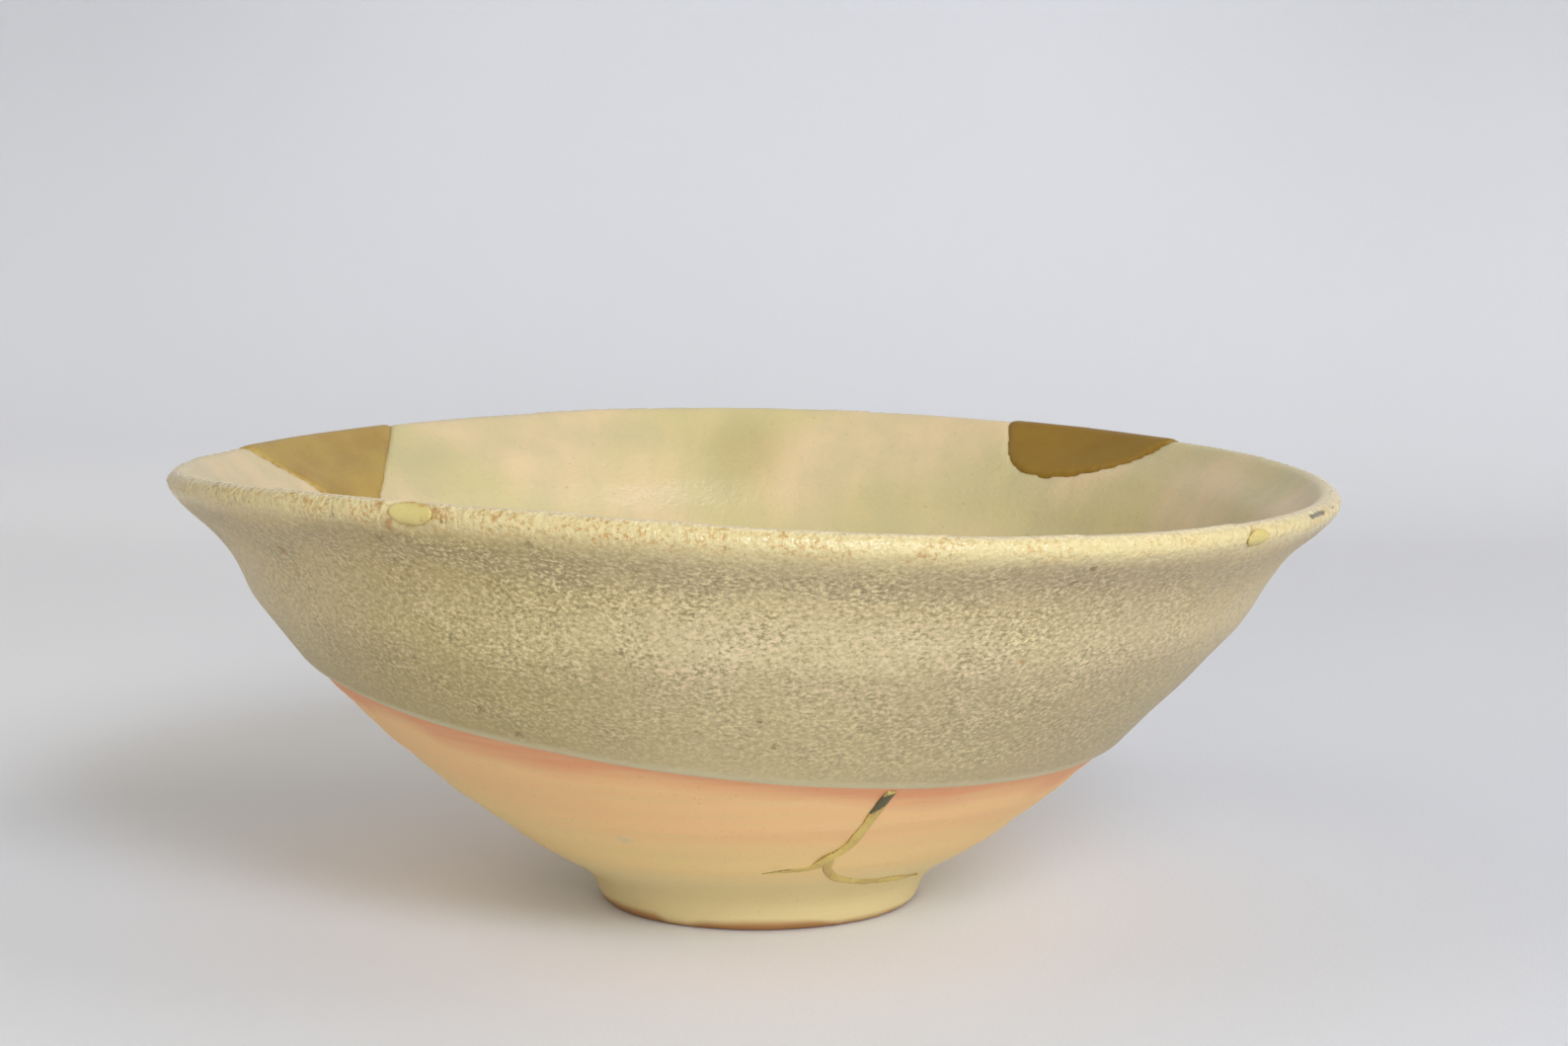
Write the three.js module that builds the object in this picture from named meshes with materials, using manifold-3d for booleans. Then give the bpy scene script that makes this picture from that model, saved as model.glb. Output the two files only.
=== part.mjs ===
import * as THREE from 'three';
import { ParametricGeometry } from 'three/addons/geometries/ParametricGeometry.js';
import { mergeVertices } from 'three/addons/utils/BufferGeometryUtils.js';
import Module from 'manifold-3d';

// A shallow stoneware bowl, thrown and turned, warped in its firing, then chipped, cracked
// and mended with gold lacquer. Millimetres, +Z up, with the foot standing on z = 0.
// An angle is in degrees round the bowl, counter-clockwise from +X as seen from above.
// A height up the wall is measured along the outer face from the top of the foot.

// Turned form
const rimRadius = 75;
const rimHeight = 57.3;
const lipThickness = 3;
const lipRound = 1.2;
const lipDrop = 1.7;
const waistInset = 10;
const waistDrop = 13.2;
const waistSlope = 67.4;
const waistBellyPull = 2.7;
const waistFlarePull = 11;
const flareInset = 3.4;
const flareDrop = 5.3;
const bellyReach = 0.524;
const bellyLift = 0.309;
const bellyThickness = 5.2;
const floorHeight = 7.6;
const floorSpread = 12;

// Turned foot
const footRadius = 21;
const footFlare = 1.1;
const footHeight = 4.2;
const footEdge = 0.6;
const footFillet = 2.2;
const wellRadius = 16.3;
const wellSlope = 0.8;
const wellDepth = 3.5;

// Glaze: its coat stops above the foot on a slant
const glazeThickness = 0.25;
const glazeLineHeight = 39.7;
const glazeLineSlant = 8.7;
const glazeLineLowAngle = 328;

// Warp: how far each wave lifts or spreads the rim, and the angle of its peak
const tiltRise = 1.35;
const tiltAngle = 213;
const saddleRise = 1.24;
const saddleAngle = 247;
const rippleRise = 0.43;
const rippleAngle = 231;
const leanSpread = 1.3;
const leanAngle = 96;
const ovalSpread = 2.65;
const ovalAngle = 147;
const bellySpread = 1.1;
const bellyAngle = 178;
const bellyRise = 0.425;
const bellyBand = 0.34;
const warpPower = 1.5;
const footShift = 1;

// Lost sherds at the rim: angle of the middle, width at the rim and depth below it
const leftSherdAngle = 146;
const leftSherdWidth = 32.5;
const leftSherdDepth = 16;
const rightSherdAngle = 45.6;
const rightSherdWidth = 30.5;
const rightSherdDepth = 8.6;
const sherdCutReach = 9;

// Chips out of the lip: length along the rim, depth into it and height
const frontChipAngle = 237.5;
const frontChipLength = 6.4;
const frontChipDepth = 3.2;
const frontChipHeight = 3.6;
const frontChipPlace = 0.25;
const smallChipAngle = 321.7;
const smallChipLength = 4.6;
const smallChipDepth = 2.4;
const smallChipHeight = 3;
const smallChipPlace = 0.05;

// Crack in the bare clay, opened into a groove
const crackWidth = 1.3;
const branchWidth = 1.1;
const crackSink = 0.1;
const crackStart = 0.6;
const crackTopAngle = 290.2;

// Lacquer stands clear of the clay all round
const fillGap = 0.3;
const seamGap = 0.22;

// Fineness of the surface, and how near two points are one
const segments = 72;
const mergeReach = 1e-4;
const tubeSides = 8;

// The broken edges of the sherds, from right to left: shares of the width and of the depth
const leftSherdEdge = [ [ - 0.5, 0 ], [ - 0.2, 0.56 ], [ 0.08, 1 ], [ 0.27, 0.56 ], [ 0.5, 0 ] ];
const rightSherdEdge = [ [ - 0.5, 0 ], [ - 0.3, 0.55 ], [ 0, 0.93 ], [ 0.25, 1 ], [ 0.4, 0.72 ], [ 0.5, 0 ] ];

// The crack's routes: angle, and share of the height from the foot up to the glaze line
const crackMain = [
	[ 289.5, 0.889 ], [ 288.8, 0.765 ], [ 288.1, 0.641 ], [ 287, 0.544 ], [ 284.7, 0.469 ], [ 282.6, 0.389 ],
];
const crackLeft = [ [ 284.7, 0.469 ], [ 282.6, 0.389 ], [ 277.2, 0.354 ], [ 270.2, 0.321 ] ];
const crackRight = [
	[ 284.7, 0.469 ], [ 285, 0.41 ], [ 285.9, 0.347 ], [ 290, 0.255 ],
	[ 298.5, 0.191 ], [ 311.1, 0.157 ], [ 325, 0.12 ],
];

const wasm = await Module();
wasm.setup();

const { degToRad, clamp, lerp } = THREE.MathUtils;

// Outer face of the wall: a full belly up to the waist, then the flare out to the lip

const lipEdge = new THREE.Vector2( rimRadius, rimHeight - lipDrop );
const waist = new THREE.Vector2( rimRadius - waistInset, lipEdge.y - waistDrop );
const waistRise = new THREE.Vector2( Math.cos( degToRad( waistSlope ) ), Math.sin( degToRad( waistSlope ) ) );
const footTop = new THREE.Vector2( footRadius + footFlare, footHeight );
const belly = new THREE.CubicBezierCurve(
	footTop,
	new THREE.Vector2( lerp( footTop.x, waist.x, bellyReach ), lerp( footTop.y, waist.y, bellyLift ) ),
	waist.clone().addScaledVector( waistRise, - waistBellyPull ),
	waist,
);
const flare = new THREE.CubicBezierCurve(
	waist,
	waist.clone().addScaledVector( waistRise, waistFlarePull ),
	new THREE.Vector2( lipEdge.x - flareInset, lipEdge.y - flareDrop ),
	lipEdge,
);
const wall = new THREE.CurvePath();
wall.add( belly );
wall.add( flare );
const wallLength = wall.getLength();

// A point of the section, at a height up the wall and sunk into it by a depth

function wallPoint( up, depth ) {

	const rise = wall.getTangent( up / wallLength );
	const inward = new THREE.Vector2( - rise.y, rise.x );
	return wall.getPoint( up / wallLength ).addScaledVector( inward, depth );

}

function wallThickness( up ) {

	return lerp( bellyThickness, lipThickness, up / wallLength );

}

function glazeLine( angle ) {

	return glazeLineHeight - glazeLineSlant * Math.cos( degToRad( angle - glazeLineLowAngle ) );

}

// The rest of the section: foot, lip and floor

const footSide = new THREE.LineCurve(
	new THREE.Vector2( footRadius, footEdge ),
	new THREE.Vector2( lerp( footRadius, footTop.x, 1 - footFillet / footHeight ), footHeight - footFillet ),
);
const footRounding = new THREE.QuadraticBezierCurve(
	new THREE.Vector2( footRadius - footEdge, 0 ),
	new THREE.Vector2( footRadius, 0 ),
	footSide.v1,
);
const fillet = new THREE.QuadraticBezierCurve( footSide.v2, footTop, wallPoint( footFillet, 0 ) );
const wellFloor = new THREE.LineCurve(
	new THREE.Vector2( 0, wellDepth ),
	new THREE.Vector2( wellRadius - wellSlope, wellDepth ),
);
const wellSide = new THREE.LineCurve( wellFloor.v2, new THREE.Vector2( wellRadius, 0 ) );
const footRing = new THREE.LineCurve( wellSide.v2, footRounding.v0 );

const lipOuter = wallPoint( wallLength, - glazeThickness );
const lipInner = wallPoint( wallLength, lipThickness );
const lipMiddle = lipOuter.clone().lerp( lipInner, 0.5 );
const lipAcross = lipOuter.clone().sub( lipInner );
const lip = new THREE.EllipseCurve(
	lipMiddle.x,
	lipMiddle.y,
	lipAcross.length() / 2,
	lipRound,
	0,
	Math.PI,
	false,
	lipAcross.angle(),
);

const floorEdge = wallPoint( floorSpread, wallThickness( floorSpread ) );
const floorRise = wall.getTangent( floorSpread / wallLength );
const floorBend = floorEdge.x - ( floorEdge.y - floorHeight ) * floorRise.x / floorRise.y;
const floor = new THREE.QuadraticBezierCurve(
	floorEdge,
	new THREE.Vector2( floorBend, floorHeight ),
	new THREE.Vector2( 0, floorHeight ),
);

// The section in its order round the wall, from under the foot to the middle of the floor.
// The rows of the outer wall slide with the slant of the glaze line.

const stretches = [
	{ rows: 1, at: ( t ) => wellFloor.getPoint( t ) },
	{ rows: 1, at: ( t ) => wellSide.getPoint( t ) },
	{ rows: 1, at: ( t ) => footRing.getPoint( t ) },
	{ rows: 2, at: ( t ) => footRounding.getPoint( t ) },
	{ rows: 1, at: ( t ) => footSide.getPoint( t ) },
	{ rows: 3, at: ( t ) => fillet.getPoint( t ) },
	{ rows: 7, at: ( t, angle ) => wallPoint( lerp( footFillet, glazeLine( angle ), t ), 0 ) },
	{ rows: 1, at: ( t, angle ) => wallPoint( glazeLine( angle ) + glazeThickness * t, - glazeThickness * t ) },
	{
		rows: 13,
		at: ( t, angle ) => wallPoint(
			lerp( glazeLine( angle ) + glazeThickness, wallLength, t ),
			- glazeThickness,
		),
	},
	{ rows: 6, at: ( t ) => lip.getPoint( t ) },
	{
		rows: 15,
		at: ( t ) => {

			const up = lerp( wallLength, floorSpread, t );
			return wallPoint( up, wallThickness( up ) );

		},
	},
	{ rows: 5, at: ( t ) => floor.getPoint( t ) },
];
const rowCount = stretches.reduce( ( sum, stretch ) => sum + stretch.rows, 0 );

// One wave round the rim, with a number of peaks

function wave( size, peaks, peakAngle, angle ) {

	return size * Math.cos( peaks * degToRad( angle - peakAngle ) );

}

// Where a point of the turned section lies once the bowl has warped

function warped( point, angle ) {

	const rise = clamp( ( point.y - footHeight ) / ( rimHeight - footHeight ), 0, 1 );
	const share = rise ** warpPower * point.x / rimRadius;
	const lift = wave( tiltRise, 1, tiltAngle, angle )
		+ wave( saddleRise, 2, saddleAngle, angle )
		+ wave( rippleRise, 3, rippleAngle, angle );
	const spread = wave( leanSpread, 1, leanAngle, angle ) + wave( ovalSpread, 2, ovalAngle, angle );
	const bellyShare = Math.exp( - ( ( ( rise - bellyRise ) / bellyBand ) ** 2 ) ) * point.x / rimRadius;
	const radius = point.x + share * spread + bellyShare * wave( bellySpread, 1, bellyAngle, angle );
	return new THREE.Vector3(
		radius * Math.cos( degToRad( angle ) ) + footShift * ( 1 - share ),
		radius * Math.sin( degToRad( angle ) ),
		point.y + share * lift,
	);

}

function bowlSurface( u, v, target ) {

	let row = v * rowCount;
	let index = 0;
	while ( index < stretches.length - 1 && row > stretches[ index ].rows ) {

		row -= stretches[ index ].rows;
		index ++;

	}

	const angle = 360 * u;
	target.copy( warped( stretches[ index ].at( row / stretches[ index ].rows, angle ), angle ) );

}

// A closed geometry as a solid that can be joined and cut

function solid( geometry ) {

	geometry.deleteAttribute( 'normal' );
	geometry.deleteAttribute( 'uv' );
	const merged = mergeVertices( geometry, mergeReach );
	const triVerts = [];
	for ( let i = 0; i < merged.index.count; i += 3 ) {

		const [ a, b, c ] = merged.index.array.slice( i, i + 3 );
		if ( a !== b && b !== c && c !== a ) triVerts.push( a, b, c );

	}

	return new wasm.Manifold( new wasm.Mesh( {
		numProp: 3,
		vertProperties: merged.attributes.position.array,
		triVerts: new Uint32Array( triVerts ),
	} ) );

}

function surfaceOf( manifold ) {

	const mesh = manifold.getMesh();
	const geometry = new THREE.BufferGeometry();
	geometry.setAttribute( 'position', new THREE.BufferAttribute( mesh.vertProperties, 3 ) );
	geometry.setIndex( new THREE.BufferAttribute( mesh.triVerts, 1 ) );
	geometry.computeVertexNormals();
	return geometry;

}

// A lost sherd, cut square through the wall and open at the rim. The outline is drawn in
// the plane that lies along the wall, with its rim at y = 0.

function sherd( angle, width, depth, edge, gap ) {

	const outline = new THREE.Shape();
	outline.moveTo( width / 2, sherdCutReach );
	outline.lineTo( - width / 2, sherdCutReach );
	outline.lineTo( - width / 2, 0 );
	outline.splineThru( edge.slice( 1 ).map( ( [ x, y ] ) => new THREE.Vector2( x * width, - y * depth ) ) );
	const cut = new THREE.ExtrudeGeometry( outline, {
		depth: 2 * sherdCutReach,
		curveSegments: 4,
		bevelSegments: 0,
		bevelThickness: 0,
		bevelSize: 0,
		bevelOffset: - gap,
	} );
	cut.translate( 0, 0, - sherdCutReach );
	const rim = warped( wallPoint( wallLength, lipThickness / 2 ), angle );
	const foot = warped( wallPoint( wallLength - depth, wallThickness( wallLength - depth ) / 2 ), angle );
	const up = rim.clone().sub( foot ).normalize();
	const along = new THREE.Vector3( - Math.sin( degToRad( angle ) ), Math.cos( degToRad( angle ) ), 0 );
	const across = along.clone().addScaledVector( up, - along.dot( up ) ).normalize();
	const out = across.clone().cross( up );
	return solid( cut.applyMatrix4( new THREE.Matrix4().makeBasis( across, up, out ).setPosition( rim ) ) );

}

// A shallow chip, scooped out of the lip

function chip( angle, place, length, depth, height, gap ) {

	const scoop = new THREE.SphereGeometry( 1, 16, 10 );
	scoop.scale( depth / 2 - gap, length / 2 - gap, height / 2 - gap );
	scoop.rotateZ( degToRad( angle ) );
	const centre = warped( lip.getPoint( place ), angle );
	return solid( scoop.translate( centre.x, centre.y, centre.z ) );

}

// A round bead along one stretch of the crack, smaller by a gap all round

function bead( route, width, gap ) {

	const whole = new THREE.CatmullRomCurve3( route.map( ( [ angle, share ] ) =>
		warped( wallPoint( share * glazeLine( angle ), crackSink ), angle ) ) );
	const trim = gap / whole.getLength();
	const steps = 2 * route.length;
	const places = Array.from( { length: steps + 1 }, ( _, i ) =>
		whole.getPointAt( lerp( trim, 1 - trim, i / steps ) ) );
	const outline = new THREE.Shape().absarc( 0, 0, width / 2 - gap, 0, 2 * Math.PI );
	return solid( new THREE.ExtrudeGeometry( outline, {
		steps,
		curveSegments: tubeSides / 2,
		extrudePath: new THREE.CatmullRomCurve3( places ),
	} ) );

}

// The forked crack, which starts just under the glaze

function crack( gap ) {

	const top = [ crackTopAngle, 1 - crackStart / glazeLine( crackTopAngle ) ];
	return bead( [ top, ...crackMain ], crackWidth, gap )
		.add( bead( crackLeft, branchWidth, gap ) )
		.add( bead( crackRight, branchWidth, gap ) );

}

const cuts = {
	left_rim_fill: ( gap ) => sherd( leftSherdAngle, leftSherdWidth, leftSherdDepth, leftSherdEdge, gap ),
	right_rim_fill: ( gap ) => sherd( rightSherdAngle, rightSherdWidth, rightSherdDepth, rightSherdEdge, gap ),
	front_chip_fill: ( gap ) => chip(
		frontChipAngle, frontChipPlace, frontChipLength, frontChipDepth, frontChipHeight, gap,
	),
	small_chip_fill: ( gap ) => chip(
		smallChipAngle, smallChipPlace, smallChipLength, smallChipDepth, smallChipHeight, gap,
	),
};

const turned = solid( new ParametricGeometry( bowlSurface, segments, rowCount ) );

const bowl = Object.values( cuts )
	.reduce( ( body, cut ) => body.subtract( cut( 0 ) ), turned )
	.subtract( crack( 0 ) );

// Materials

const stoneware = new THREE.MeshStandardMaterial( { color: 0xb9ad85, roughness: 0.45, metalness: 0 } );
const darkGold = new THREE.MeshStandardMaterial( { color: 0x8f7a3a, roughness: 0.5, metalness: 0.2 } );
const paleGold = new THREE.MeshStandardMaterial( { color: 0xcdbb74, roughness: 0.45, metalness: 0.1 } );
const seamGold = new THREE.MeshStandardMaterial( { color: 0xa8904a, roughness: 0.5, metalness: 0.2 } );

function piece( name, manifold, material ) {

	const mesh = new THREE.Mesh( surfaceOf( manifold ), material );
	mesh.name = name;
	return mesh;

}

// The whole bowl, moved so that its outline is centred on the axis

const model = new THREE.Group();
model.add(
	piece( 'stoneware_bowl', bowl, stoneware ),
	piece( 'left_rim_fill', turned.intersect( cuts.left_rim_fill( fillGap ) ), darkGold ),
	piece( 'right_rim_fill', turned.intersect( cuts.right_rim_fill( fillGap ) ), darkGold ),
	piece( 'front_chip_fill', turned.intersect( cuts.front_chip_fill( fillGap ) ), paleGold ),
	piece( 'small_chip_fill', turned.intersect( cuts.small_chip_fill( fillGap ) ), paleGold ),
	piece( 'crack_seam', crack( seamGap ), seamGold ),
);
const centre = new THREE.Box3().setFromObject( model ).getCenter( new THREE.Vector3() );
model.position.set( - centre.x, - centre.y, 0 );

const group = new THREE.Group();
group.add( model );

export default group;
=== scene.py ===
import math

import bpy
import numpy as np
from bpy.props import FloatProperty, FloatVectorProperty, PointerProperty
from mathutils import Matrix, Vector, noise
from mathutils.bvhtree import BVHTree


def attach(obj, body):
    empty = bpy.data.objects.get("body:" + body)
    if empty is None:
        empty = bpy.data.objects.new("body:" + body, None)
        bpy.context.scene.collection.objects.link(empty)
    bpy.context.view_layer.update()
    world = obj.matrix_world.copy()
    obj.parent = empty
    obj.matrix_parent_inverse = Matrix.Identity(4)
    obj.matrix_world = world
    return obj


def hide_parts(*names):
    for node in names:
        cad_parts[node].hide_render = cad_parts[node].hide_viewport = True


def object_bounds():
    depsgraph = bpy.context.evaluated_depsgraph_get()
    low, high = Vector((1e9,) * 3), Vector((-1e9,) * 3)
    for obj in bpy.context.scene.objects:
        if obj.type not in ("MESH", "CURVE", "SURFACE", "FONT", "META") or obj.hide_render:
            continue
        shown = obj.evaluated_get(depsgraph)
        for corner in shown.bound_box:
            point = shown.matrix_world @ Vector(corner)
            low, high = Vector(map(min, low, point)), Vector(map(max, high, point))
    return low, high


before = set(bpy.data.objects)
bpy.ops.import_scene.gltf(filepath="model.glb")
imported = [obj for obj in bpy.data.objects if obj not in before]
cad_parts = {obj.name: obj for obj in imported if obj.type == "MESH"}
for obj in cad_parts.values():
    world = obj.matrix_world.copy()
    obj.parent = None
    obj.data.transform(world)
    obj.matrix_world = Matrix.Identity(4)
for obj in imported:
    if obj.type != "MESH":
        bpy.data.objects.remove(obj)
cad_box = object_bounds()

bl_info = {
    "name": "Gold-mended stoneware bowl",
    "version": (1, 0, 0),
    "blender": (4, 5, 0),
    "location": "3D View > Sidebar > Mended bowl",
    "description": "Dresses the solids of a cracked stoneware bowl that is mended with gold lacquer",
    "category": "Object",
}

# Lengths are in metres and written as so many millimetres
MM = 0.001

# Middle of the turned rim, seen from above
RIM_AXIS = Vector((0.285 * MM, -1.266 * MM))
# The solids have a ring of points at each of this many even angles
RIM_STEPS = 72
# Lean of the wall's outer face below the lip, down from level
LIP_LEAN = math.radians(33)
# The same of the belly, where the crack is
BELLY_LEAN = math.radians(48)
FOOT_HEIGHT = 4.2 * MM
# How far the bowl reaches to the left and to the right
BOWL_REACH = 76 * MM
# Points of a solid that lie closer together than this are one point
JOIN_REACH = 0.001 * MM
# Width of the camera's sensor, which Blender takes in millimetres
SENSOR_WIDTH = 36
WHITE = (1, 1, 1, 1)
# Numbers of the mix node's sockets for colours, which share their names with others
MIX_FIRST, MIX_SECOND, MIX_RESULT = 6, 7, 2

# Marks on the outer wall: angle round the bowl in degrees, height and size in millimetres
DARK_PITS = (
    (214.2, 51.8, 1.1), (229.6, 40.1, 1.0), (259.8, 53.6, 1.0), (271.1, 55.1, 0.7), (301.2, 51.1, 0.8),
    (239.7, 30.7, 0.9), (256.8, 43.0, 0.9), (287.7, 42.4, 0.7), (271.3, 34.4, 0.7), (273.2, 30.7, 0.9),
    (264.1, 32.8, 0.8), (247.5, 58.0, 0.5), (227.8, 57.6, 0.8), (236.6, 43.1, 0.9), (233.0, 55.5, 1.1),
    (249.8, 56.3, 0.9), (250.0, 45.9, 1.0), (236.0, 33.8, 0.9), (302.1, 52.9, 1.0), (241.4, 58.1, 0.8),
)
RUST_SPOTS = (
    (268.3, 56.4, 0.9), (285.3, 55.7, 1.2), (284.2, 54.9, 0.7), (214.5, 51.2, 0.8), (233.6, 59.6, 1.1),
    (235.1, 57.7, 0.9), (234.8, 56.9, 0.7), (240.6, 59.4, 1.1), (241.6, 59.2, 0.9), (242.5, 59.1, 0.8),
    (299.5, 41.0, 1.0),
)
OCHRE_DRIPS = ((210.2, 35.2, 0.7), (209.7, 34.4, 0.6), (209.0, 33.6, 0.7), (208.6, 32.6, 0.6))
PALE_SPOTS = ((245.9, 15.0, 1.6),)
SPOTS = {
    "dark_pits": DARK_PITS,
    "rust_spots": RUST_SPOTS,
    "ochre_drips": OCHRE_DRIPS,
    "pale_spots": PALE_SPOTS,
}
# Strokes: angle and height of both ends, and half the width in millimetres
NICK = (((333.4, 55.3), (337.5, 55.2), 0.32), ((337.5, 55.2), (341.8, 55.1), 0.1))
PATINA = (((291.2, 23.2), (289.3, 20.2), 0.75), ((288.2, 17.9), (287.2, 15.6), 0.6))
# Olive spot inside, under the far lip
OLIVE_PLACE = (-1.2 * MM, 65.8 * MM, 52.2 * MM)
# Soft windows: angle to the right of the camera and height above the floor in degrees, then
# the distance and the side in millimetres
WINDOWS = {
    "key": (23, 35, 1200, 350),
    "front": (15, 10, 1600, 1200),
    "right": (80, 38, 1600, 1000),
    "left": (-70, 42, 1600, 1000),
}


def paint(code):
    """The red, green, blue and alpha that Blender reads, from a screen colour's six hexadecimal digits."""
    shares = [int(code[i : i + 2], 16) / 255 for i in (0, 2, 4)]
    return (*[s / 12.92 if s <= 0.04045 else ((s + 0.055) / 1.055) ** 2.4 for s in shares], 1.0)


def colour(name, code, description):
    """A colour that a user can change."""
    return FloatVectorProperty(
        name=name, description=description, default=paint(code), subtype="COLOR", size=4, min=0, max=1
    )


def length(name, millimetres, description):
    """A length that a user can change."""
    return FloatProperty(
        name=name, description=description, default=millimetres * MM, unit="LENGTH", precision=5
    )


def turn(name, degrees, description):
    """An angle that a user can change."""
    return FloatProperty(
        name=name, description=description, default=math.radians(degrees), unit="ROTATION"
    )


def power(name, watts, description):
    """The power of a light, which a user can change."""
    return FloatProperty(name=name, description=description, default=watts, unit="POWER")


class BowlSizes(bpy.types.PropertyGroup):
    """Sizes of the relief on the bowl, its fills and its seam."""

    bowl_grid: length("Bowl grid", 0.74, "Side of the squares that the bowl's surface is made of")
    fill_grid: length("Fill grid", 0.36, "Side of the squares that the rim fills are made of")
    chip_grid: length("Chip grid", 0.18, "Side of the squares that the chip fills and the seam are made of")
    line_height: length("Glaze line", 28.66, "Mean height at which the glaze stops")
    line_slant: length("Glaze slant", 6.29, "How far the glaze line rises and falls round the bowl")
    line_high: turn("Glaze high side", 150.3, "Angle at which the glaze line is highest")
    coat: length("Coat edge", 0.12, "Step from the bare clay up onto the glaze")
    roll: length("Coat roll", 0.1, "Thicker roll where the glaze stopped running")
    ring_depth: length("Throwing depth", 0.05, "Depth of the finger rings in the glazed wall")
    ring_pitch: length("Throwing pitch", 7.4, "Height from one finger ring to the next")
    facet_depth: length("Turning depth", 0.1, "Depth of the tool's waves in the bare clay")
    facet_pitch: length("Turning pitch", 7.4, "Height from one tool wave to the next")
    lump_depth: length("Lumps", 0.1, "Depth of the broad unevenness of the wall")
    nick_depth: length("Nick", 0.3, "Depth of the unfilled nick in the lip")
    fill_proud: length("Fill proud", 0.1, "How far the lacquer stands above the wall")
    fill_lap: length("Fill lap", 0.6, "How far the lacquer laps past the broken edge of its solid")
    fill_ragged: length("Fill ragged", 0.3, "Unevenness of the lacquer's edge")
    chip_proud: length("Chip proud", 0.05, "How far the chip fills stand above the lip")
    chip_lap: length("Chip lap", 0.4, "How far the chip fills lap past the edge of their solids")
    seam_spread: length("Seam spread", 0.34, "How far the seam spreads over the clay past its solid")
    seam_press: length("Seam press", 0.12, "How far the seam's round top is pressed flat")
    seam_taper: length("Seam taper", 6.0, "Length over which the seam's ends thin out")


class BowlColours(bpy.types.PropertyGroup):
    """Colours of the glaze, the bare clay and the lacquer."""

    glaze_shoulder: colour("Shoulder", "BCA981", "Greyer glaze just under the lip")
    glaze_tan: colour("Tan", "CCB788", "Warm speckled glaze on the upper wall")
    glaze_straw: colour("Straw", "D1BF93", "Yellow glaze at mid wall")
    glaze_sage: colour("Sage", "BFAF83", "Green-grey glaze on the lower wall")
    glaze_edge: colour("Glaze edge", "D2C9A2", "Pale line where the glaze stops")
    # Painted shade: these two tints darken the glaze towards the left and the right, and make it yellower
    # on the left, for the way the light falls on the sides
    shade_left: colour("Left shade", "EFECD8", "Warmer tone of the glaze on the left")
    shade_right: colour("Right shade", "F1F0F0", "Darker tone of the glaze on the right")
    cream_grain: colour("Cream grain", "EFDFA8", "Light grains of ash")
    peach_grain: colour("Peach grain", "EFD6AC", "Warmer light grains, in broad patches")
    dark_grain: colour("Dark grain", "86784C", "Dark grains between the ash")
    pit_brown: colour("Pits", "6F5C34", "Burst pits in the glaze")
    rust: colour("Rust", "B27C3C", "Iron spots and orange stains")
    lip_cream: colour("Lip cream", "E2D09A", "Thin cream glaze on the lip")
    # Painted highlight: the pale top of the lip, drawn on the near side only
    lip_top_highlight: colour("Lip top", "F0DDB4", "Pale rounded top of the lip")
    lip_rust: colour("Lip rust", "C6944C", "Orange clay that shows through on the lip")
    inner_straw: colour("Inside straw", "DCCB95", "Smooth glaze inside")
    inner_peach: colour("Inside peach", "F0D3AA", "Peach blotches inside")
    inner_sage: colour("Inside sage", "C3BD92", "Green-grey patches inside")
    # Painted shade: the inside is drawn greyer towards the left and the right
    inner_shade: colour("Inside shade", "F6F7F8", "Greyer tone inside, out to the sides")
    inner_olive: colour("Inside olive", "C2AE73", "Olive spot inside, under the far lip")
    clay_salmon: colour("Salmon clay", "E6A274", "Flashed clay close under the glaze")
    clay_peach: colour("Peach clay", "F5C78C", "Clay below the flashed band")
    clay_ochre: colour("Ochre clay", "F2D291", "Clay on the lower wall")
    clay_olive: colour("Olive clay", "E6D29A", "Clay round the foot")
    foot_rust: colour("Foot rust", "AB7138", "Toasted edge under the foot")
    ochre_drip: colour("Drip", "B39A45", "Ochre drip across the glaze line")
    # Painted shade: dark grey in the recess of the nick
    nick_shade_grey: colour("Nick", "5E564C", "Dark clay in the nick of the lip")
    gold_dark: colour("Dark gold", "927024", "Worn lacquer of the right fill")
    gold_brown: colour("Brown gold", "9C7929", "Gold powder on the right fill")
    gold_worn: colour("Worn gold", "AC8B49", "Worn lacquer of the left fill")
    gold_ochre: colour("Ochre gold", "BB9D54", "Gold powder on the left fill and the seam")
    gold_pale: colour("Pale gold", "D3BF72", "Pale lacquer in the chips")
    gold_cream: colour("Cream gold", "E0CF88", "Lightest lacquer in the chips")
    gold_rust: colour("Rusty gold", "C9A35F", "Rusty edge of the lacquer in the chips")
    gold_seam: colour("Seam gold", "E4CB74", "Gold powder on the crack's seam")
    patina: colour("Patina", "5A583A", "Green-grey patina along the seam")


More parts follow.
